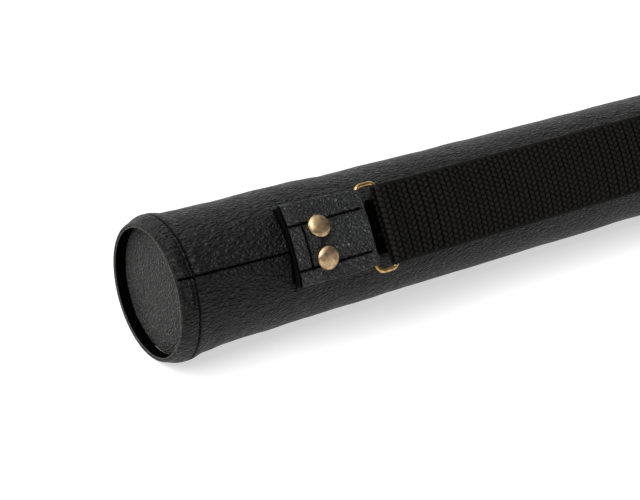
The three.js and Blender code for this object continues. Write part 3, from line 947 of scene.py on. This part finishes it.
def tab_relief(travel, along, side):
    """Hems, grooves and wrinkles, on the outer layer only."""
    hem = 0.35 * between(np.abs(side), HEM_AT + 0.6, 30, 1.2)
    lines = -0.85 * stitch_holes(along, TAB_STITCH, 0.35) * hem_grooves(along, side)
    across = -0.95 * stitch_holes(side, TAB_STITCH, 0.35) * cross_groove(along, side)
    pillow = 0.28 * hump(along, 3.6, 3.0) + 0.2 * hump(along, 27, 8) * hump(side, 0, 9)
    spot = np.stack([along, side, travel * 0.2], -1)
    wrinkle = 0.09 * unevenness(spot, 4.5, 71) + 0.05 * unevenness(spot, 2.4, 72)
    top = hem + lines + across + pillow + rivet_dish(along, side) + wrinkle
    return np.where(travel > OUTER_FROM, top, 0.0)


def tab_painted_shade(travel, along, side):
    """1 in the tab's grooves, as painted shade, and on its two raw ends, which turn black."""
    outer = travel > OUTER_FROM
    grooves = 1.4 * hem_grooves(along, side) + 1.5 * cross_groove(along, side)
    raw_end = (along < 1.0) * (travel < OUTER_FROM) + (travel > travel.max() - 0.2)
    return np.clip(grooves * outer + raw_end, 0, 1)


def tab_crackle(travel, along, side):
    spot = np.stack([along, side, 0 * side], -1)
    return np.clip(0.75 + 0.3 * unevenness(spot, 12, 73), 0.25, 1)


def make_tab(anchor):
    tab = strip(f"{anchor.end}_leather_tab", anchor, tab_path(), 0.32, TAB_HALF, TAB_T, 0.32,
                tab_relief, tab_drop, tab_lay,
                attributes={"crackle": tab_crackle, "sewn": tab_painted_shade})
    dress(tab, tab_leather, "tab_leather", "root", f"{anchor.end}_tab")


for anchor in ANCHORS:
    make_tab(anchor)

# %% [markdown]
# ## The tab's inked end and the shade under it
# Seen from the closed end the tab's free end is a black band down to the cover. Its top is most
# likely a stiffener between the layers with its cut edge inked; below that, down to the tube, the
# slab is a painted shadow filling the gap under the tab's edge. It is a thin slab whose top follows
# the tab's underside and whose foot follows the tube, with streaks along the edge from the brush.

# %% Inked end and painted gap shade
END_HALF = 18.3


def edge_ink_and_gap_shade():
    finish = Finish("edge_ink_and_gap_shade", {"Specular IOR Level": 0.06})
    streak = finish.noise(420.0, 3.0, finish.scaled(finish.place(), (1.0, 0.3, 0.3)))
    colour = finish.mix(streak, grey(0.0006), grey(0.003))
    return finish.feed(base_color=colour, roughness=streak * 0.2 + 0.6,
                       normal=finish.bump(streak, 0.0002))


tab_ink_and_gap_shade = edge_ink_and_gap_shade()


def make_tab_end(anchor):
    """Five points at each place across: the foot, the bulge of the edge, the top and the back."""
    section = np.array([(0.35, 0.0), (0.2, 0.5), (0.35, 1.0), (1.6, 1.0), (1.6, 0.0)])
    across = np.linspace(-END_HALF, END_HALF, 60)[:, None]
    side, along = np.broadcast_arrays(across, section[:, 0])
    # From the tube up to the tab's layers the slab is painted shadow, not ink.
    on_tube = np.sqrt((CASE_R + 0.1) ** 2 - side ** 2)
    under_face = TAB_HIGH + TAB_RISES[0][1] - tab_drop(along, side)
    high = on_tube + (under_face - on_tube) * section[:, 1]
    piece = loft(f"{anchor.end}_tab_edge", anchor.point(along, tab_lay(along, side), high))
    dress(piece, tab_ink_and_gap_shade, "tab_leather", "root")


for anchor in ANCHORS:
    make_tab_end(anchor)

# %% [markdown]
# ## The tab's stitches
# The same black thread, in the grooves that the relief has made for it. The stitches under a
# rivet's cap are left out.

# %% Tab stitches
STITCH_SPAN, CAP_CLEAR = 2.7, 6.2


def tab_face(along, side):
    """The height of the tab's outer face."""
    a, s = np.array(float(along)), np.array(float(side))
    travel = np.array(90.0)
    stations, rises = zip(*TAB_RISES, (36, 1.6))
    high = TAB_HIGH + np.interp(along, stations, rises)
    return high + TAB_T / 2 + float(tab_relief(travel, a, s)) - float(tab_drop(a, s))


def tab_thread(anchor):
    runs = [((x, y), (x + STITCH_SPAN, y))
            for y in (-HEM_AT, HEM_AT) for x in np.arange(0.6, 34, TAB_STITCH)]
    runs += [((CROSS_STITCH, y), (CROSS_STITCH, y + STITCH_SPAN))
             for y in np.arange(-9.6, 10, TAB_STITCH)]
    shapes = []
    for (x0, y0), (x1, y1) in runs:
        if min(math.hypot((x0 + x1) / 2 - RIVET_ALONG, (y0 + y1) / 2 - s * RIVET_SIDE)
               for s in (-1, 1)) < CAP_CLEAR:
            continue
        ends = [anchor.point(x, y, tab_face(x, y) + 0.06) for x, y in ((x0, y0), (x1, y1))]
        shapes.append(capsule(ends[0], ends[1], anchor.out))
    dress(merged(f"{anchor.end}_tab_thread", shapes), thread, "tab_leather", "root")


for anchor in ANCHORS:
    tab_thread(anchor)

# %% [markdown]
# ## The patch under the tab
# A thinner layer of the cover's own leatherette, glued to the sleeve under the tab, with its
# long edges folded. It shows in the gap between the tab's fold and the strap. Between its folds
# the patch is in the deepest shade of the case, so the same mask as for stitches blackens it.

# %% Patch
PATCH_HIGH, PATCH_R, PATCH_T, PATCH_HALF = 31.65, 31.6, 0.6, 18.6
FOLD_IN, SHADE_HALF = 12.6, 12.4
PATCH_PATH = [(53, PATCH_HIGH), (24, PATCH_HIGH), (0.6, PATCH_HIGH)]


def patch_relief(travel, along, side):
    spot = np.stack([along, side, travel * 0], -1)
    return 0.75 * between(np.abs(side), FOLD_IN, 30, 0.9) + 0.06 * unevenness(spot, 5, 81)


def patch_drop(along, side):
    return PATCH_R - np.sqrt(PATCH_R ** 2 - np.minimum(np.abs(side), 30) ** 2)


def patch_shade(travel, along, side):
    return between(np.abs(side), -1, SHADE_HALF, 0.8)


for anchor in ANCHORS:
    patch = strip(f"{anchor.end}_leather_patch", anchor, PATCH_PATH, 0.9, PATCH_HALF, PATCH_T,
                  0.5, patch_relief, patch_drop,
                  attributes={"crackle": lambda u, a, s: 0.2 + 0 * s, "sewn": patch_shade})
    dress(patch, cover_leather, "leatherette", "root", f"{anchor.end}_tab_patch")

# %% [markdown]
# ## Metal finishes
# The ring is yellow brass under worn lacquer and the rivets are an antique bronze, brushed and
# darker where fingers don't reach. Metal looks real when its roughness changes from place to
# place, so both mix two tones by noise, and the rivets have fine scratches on their crowns.

# %% Metal finishes
def antique_metal(name, bright, dark, roughness, patch_scale):
    finish = Finish(name, {"Metallic": 1.0})
    cloud = finish.noise(patch_scale, 4.0)
    speck = finish.noise(patch_scale * 7, 3.0)
    scratch = finish.noise(2200.0, 2.0, finish.scaled(finish.place(), (0.12, 1.0, 1.0)))
    tarnish = finish.ramp(cloud * 0.7 + speck * 0.3, (0.38, 0), (0.62, 1))
    colour = finish.mix(tarnish, tint(dark), tint(bright))
    shine = finish.noise(patch_scale * 2, 2.0) * 0.16 + scratch * 0.1 + roughness
    return finish.feed(base_color=colour, roughness=shine,
                       normal=finish.bump(scratch + speck * 0.5, 0.00003))


ring_brass = antique_metal("ring_brass", (0.7, 0.47, 0.19), (0.3, 0.18, 0.07), 0.2, 420.0)
rivet_bronze = antique_metal("rivet_bronze", (0.66, 0.47, 0.28), (0.3, 0.2, 0.11), 0.3, 380.0)

# %% [markdown]
# ## The wire ring
# One length of brass wire bent into a rectangle, 38 mm inside. Its outline is four straight
# runs and four round corners; a closed loft of small circles along it gives a clean wire.

# %% Ring
RING_HALF, RING_CORNER = 20.2, 3.4


def make_ring(anchor):
    middle = Anchor.TAB_TO_BAR + RING_LENGTH / 2
    reach, half = RING_LENGTH / 2 - RING_CORNER, RING_HALF - RING_CORNER
    outline = []
    corners = (reach, half), (-reach, half), (-reach, -half), (reach, -half)
    for quarter, (x, y) in enumerate(corners):
        start = 90 * quarter
        outline += arc_path((middle + x, y), RING_CORNER, start, start + 90, 12)
    outline = np.array(outline + [outline[0]])
    lengths = lengths_along(outline)
    path = resampled(outline, lengths, np.linspace(0, lengths[-1], 190, endpoint=False))
    heading = np.roll(path, -1, 0) - np.roll(path, 1, 0)
    heading /= np.linalg.norm(heading, axis=1, keepdims=True)
    outward = np.stack([heading[:, 1], -heading[:, 0]], -1)
    turn = np.linspace(0, 2 * math.pi, 18, endpoint=False)
    flat = path[:, None] + WIRE_R * np.cos(turn)[None, :, None] * outward[:, None]
    high = BAR_HIGH + WIRE_R * np.sin(turn)[None] + 0 * flat[..., 0]
    ring = loft(f"{anchor.end}_wire_ring", anchor.point(flat[..., 0], flat[..., 1], high),
                closed=True)
    dress(ring, ring_brass, "ring_brass", anchor.body, f"{anchor.end}_ring")


for anchor in ANCHORS:
    make_ring(anchor)

# %% [markdown]
# ## Rivets
# A double-cap rivet: a domed cap with a thin rolled rim outside, its shank through every layer,
# and a smaller cap clinched inside. The cap is a turned section, so a list of radii and heights
# and a loop round the axis is all it takes.

# %% Rivet caps
def turned_on_rivet(name, anchor, tilt, section, node):
    """section is (radius, distance from the tube's axis) pairs, about a radial line."""
    out = math.cos(tilt) * anchor.out + math.sin(tilt) * anchor.up_slope
    side = -math.sin(tilt) * anchor.out + math.cos(tilt) * anchor.up_slope
    foot = anchor.point(RIVET_ALONG, 0.0, 0.0)
    turn = np.linspace(0, 2 * math.pi, 56, endpoint=False)
    rings = [foot + MM * (high * out + radius * (np.cos(turn)[:, None] * anchor.along
                                                 + np.sin(turn)[:, None] * side))
             for radius, high in section]
    dress(loft(name, np.stack(rings)), rivet_bronze, "rivet_bronze", "root", node)


cap_section = [(0.3, CAP_SEAT - 0.8), (5.0, CAP_SEAT - 0.8), (5.4, CAP_SEAT - 0.5),
               (5.55, CAP_SEAT - 0.1), (5.5, CAP_SEAT + 0.15), (5.32, CAP_SEAT + 0.28)]
cap_section += [(5.3 * math.cos(t), CAP_SEAT + 0.3 + 1.6 * math.sin(t) ** 1.15)
                for t in np.radians([8, 17, 27, 38, 49, 60, 71, 81, 88.5])]
BACK_LOW = 25.0
back_section = [(0.2, BACK_LOW), (2.2, BACK_LOW + 0.02), (3.8, BACK_LOW + 0.18),
                (4.6, BACK_LOW + 0.42), (4.8, BACK_LOW + 0.7), (4.6, BACK_LOW + 1.0),
                (0.2, BACK_LOW + 1.0)]
for anchor in ANCHORS:
    for place, tilt in (("upper", RIVET_TILT), ("lower", -RIVET_TILT)):
        for shape, part, section in (("dome", "cap", cap_section), ("clinch", "back", back_section)):
            turned_on_rivet(f"{anchor.end}_rivet_{shape}_{place}", anchor, tilt, section,
                            f"{anchor.end}_rivet_{part}_{place}")

# %% [markdown]
# ## The webbing strap
# Heavy 38 mm webbing in a herringbone: across the strap the yarns lie in rows 2.6 mm apart, and
# every 3.15 mm along it they change their slant, so that each pair of columns makes a row of
# arches with a dark line between pairs. That relief is half a millimetre deep and shows
# from a metre away, so it is in the mesh; only the fibres are a bump. The strap is flat and
# taut, so it is drawn, not simulated.

# %% Webbing
WEB_HALF, WEB_T, SELVEDGE_AT = 19.0, 1.5, 17.6
COLUMN, ROW = 3.15, 2.6
WEB_LOW = BAR_HIGH - 2.7 + WEB_T / 2
FOLD_END, DOUBLE_TO = 92.0, 94.0


def weave(u, side):
    """Height from 0 in the pits to 1 on the crowns."""
    pair = (u / (2 * COLUMN)) % 1.0
    left = pair < 0.5
    across_column = np.where(left, pair * 2, pair * 2 - 1)
    slant = np.where(left, 0.42, -0.42) * (across_column - 0.5)
    row = side / ROW + slant + np.where(left, 0.0, 0.5)
    yarn = 0.5 + 0.5 * np.cos(2 * math.pi * row)
    column = np.sin(math.pi * np.clip(across_column, 0, 1)) ** 0.5
    gap = np.where(np.minimum(pair, 1 - pair) < 0.09, 0.55, 1.0)
    return (0.25 + 0.75 * yarn ** 0.8) * column * gap


def web_path():
    bar = (FAR_BAR, BAR_HIGH)
    bend = WIRE_R + WEB_T / 2 + 0.02
    upper = WEB_LOW + WEB_T + 0.02
    under = [(FOLD_END, WEB_LOW), (70, WEB_LOW), (58, WEB_LOW), (bar[0] + 1.5, bar[1] - bend + 0.03)]
    over = [(54, bar[1] + bend - 0.15), (57, bar[1] + bend - 0.75), (60.5, upper + 0.5),
            (64, upper + 0.1), (68, upper), (DOUBLE_TO, upper), (97, upper - 0.5),
            (100.5, WEB_LOW + 0.25), (104, WEB_LOW), (STRAP_HALF, WEB_LOW)]
    return under + arc_path(bar, bend, 262, 95, 16) + over


web_length = walk(web_path(), 0.5)[0][-1]


def web_drop(along, side):
    settled = eased(along, [(56, 0.12), (76, 1.0)])
    return side ** 2 / 220 * settled - 0.05 * side * settled


def woven_webbing():
    finish = Finish("black_webbing", {"Specular IOR Level": 0.12})
    cloth = finish.attribute("cloth", "Vector")
    fibre = finish.noise(5200.0, 3.0, finish.scaled(cloth, (0.35, 1.0, 1.0)))
    crown = finish.attribute("crown")
    soil = finish.noise(70.0, 3.0)
    crown = crown * (finish.noise(800.0, 2.0, cloth) * 1.1 + 0.45)
    # Painted light and shade: the crowns of the weave are lighter and the pits darker.
    lit = finish.ramp(crown, (0.25, 0), (0.95, 1))
    yarn = finish.mix(lit, (0.0004, 0.0003, 0.0003, 1), (0.0105, 0.0095, 0.0083, 1))
    colour = finish.mix(soil * 0.25, yarn, (0.005, 0.0044, 0.004, 1))
    # Painted shade: the deepest pits turn lightless black.
    finish.painted_shade_where(finish.ramp(crown, (0.1, 1), (0.44, 0)) * 0.95)
    return finish.feed(base_color=colour, roughness=fibre * 0.2 + 0.6,
                       normal=finish.bump(fibre, 0.00012))


webbing = woven_webbing()


def make_strap_half(anchor, sign):
    """The weave is counted from the strap's middle, so the two halves meet on one pattern."""
    def from_middle(travel):
        return sign * (travel - web_length)

    def woven_part(side):
        return between(np.abs(side), -1, SELVEDGE_AT, 0.7)

    def relief(travel, along, side):
        u, edge = from_middle(travel), woven_part(side)
        selvedge = 0.18 + 0.1 * np.sin(2 * math.pi * u / 1.57)
        return 0.45 * weave(u, side) * edge + selvedge * (1 - edge) - 0.2

    def crown(travel, along, side):
        edge = woven_part(side)
        return weave(from_middle(travel), side) * edge + 0.5 * (1 - edge)

    def cloth(travel, along, side):
        return np.stack([from_middle(travel) * MM, side * MM, 0 * side], -1)

    half = strip(f"{anchor.end}_half_of_strap", anchor, web_path(), 0.42, WEB_HALF, WEB_T, 0.4,
                 relief, web_drop, outside=-1, attributes={"cloth": cloth, "crown": crown})
    dress(half, webbing, "webbing", None, f"{anchor.end}_strap_loop", "strap")
    start = anchor.point(FAR_BAR + 1.0, 0.0, BAR_HIGH)
    end = anchor.point(FAR_BAR + 36.0, 0.0, BAR_HIGH)
    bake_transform(half)


make_strap_half(base_anchor, -1.0)
make_strap_half(mouth_anchor, 1.0)

# %% [markdown]
# ## Floor
# A white table lit from below. Its own glow is why there is hardly a shadow, even right under the
# case. It is one large face, so it looks endless from the camera.

# %% Floor
FLOOR_HALF = 12.0
floor_finish = Finish("white_floor", {"Roughness": 0.9, "Specular IOR Level": 0.1,
                                     "Emission Color": grey(1.0), "Emission Strength": 0.6})
floor_tone = floor_finish.noise(3.0, 2.0)
floor_finish.feed(base_color=floor_finish.mix(floor_tone, grey(0.42), grey(0.45)))
floor = mesh_object("floor", [(x * FLOOR_HALF, y * FLOOR_HALF, FLOOR_Z)
                              for x, y in ((-1, -1), (1, -1), (1, 1), (-1, 1))], [[0, 1, 2, 3]])
floor.data.materials.append(floor_finish.material)

# %% [markdown]
# ## Studio light
# A black case is shaped by what it reflects. One broad soft light, overhead and towards the
# closed end, lights its top; the room is pale beyond the case, which draws the bright line along
# the top edge, and dark on the camera's side, which keeps the long side deep black. An area lamp
# could do it, but a glow in the world lights the floor evenly however far it runs.

# %% Studio glow
GLOW_TOWARD = Vector((-0.5, -0.08, 0.86)).normalized()
GLOW_STRENGTH, BEHIND_CASE, BEHIND_CAMERA = 4.4, 1.0, 0.12
world = bpy.data.worlds.new("studio")
bpy.context.scene.world = world
world.use_nodes = True
sky = NodeTree(world.node_tree)


def glow_step(heading, low, high, below, above):
    """A smooth step in brightness towards a heading."""
    direction = sky.node("ShaderNodeTexCoord", out="Generated")
    facing = sky.node("ShaderNodeVectorMath", {"operation": "DOT_PRODUCT"},
                      {0: direction, 1: heading}, "Value")
    step = {"Value": facing, "From Min": low, "From Max": high, "To Min": below, "To Max": above}
    return sky.node("ShaderNodeMapRange", {"interpolation_type": "SMOOTHSTEP"}, step, "Result")


room = glow_step((0.0, 1.0, 0.0), -0.15, 0.75, BEHIND_CAMERA, BEHIND_CASE)
light = glow_step(GLOW_TOWARD, 0.72, 0.92, room, GLOW_STRENGTH)
background = sky.tree.nodes["Background"]
background.inputs["Color"].default_value = grey(1.0)
sky.tree.links.new(light.socket, background.inputs["Strength"])
bpy.context.scene.view_settings.view_transform = "Standard"
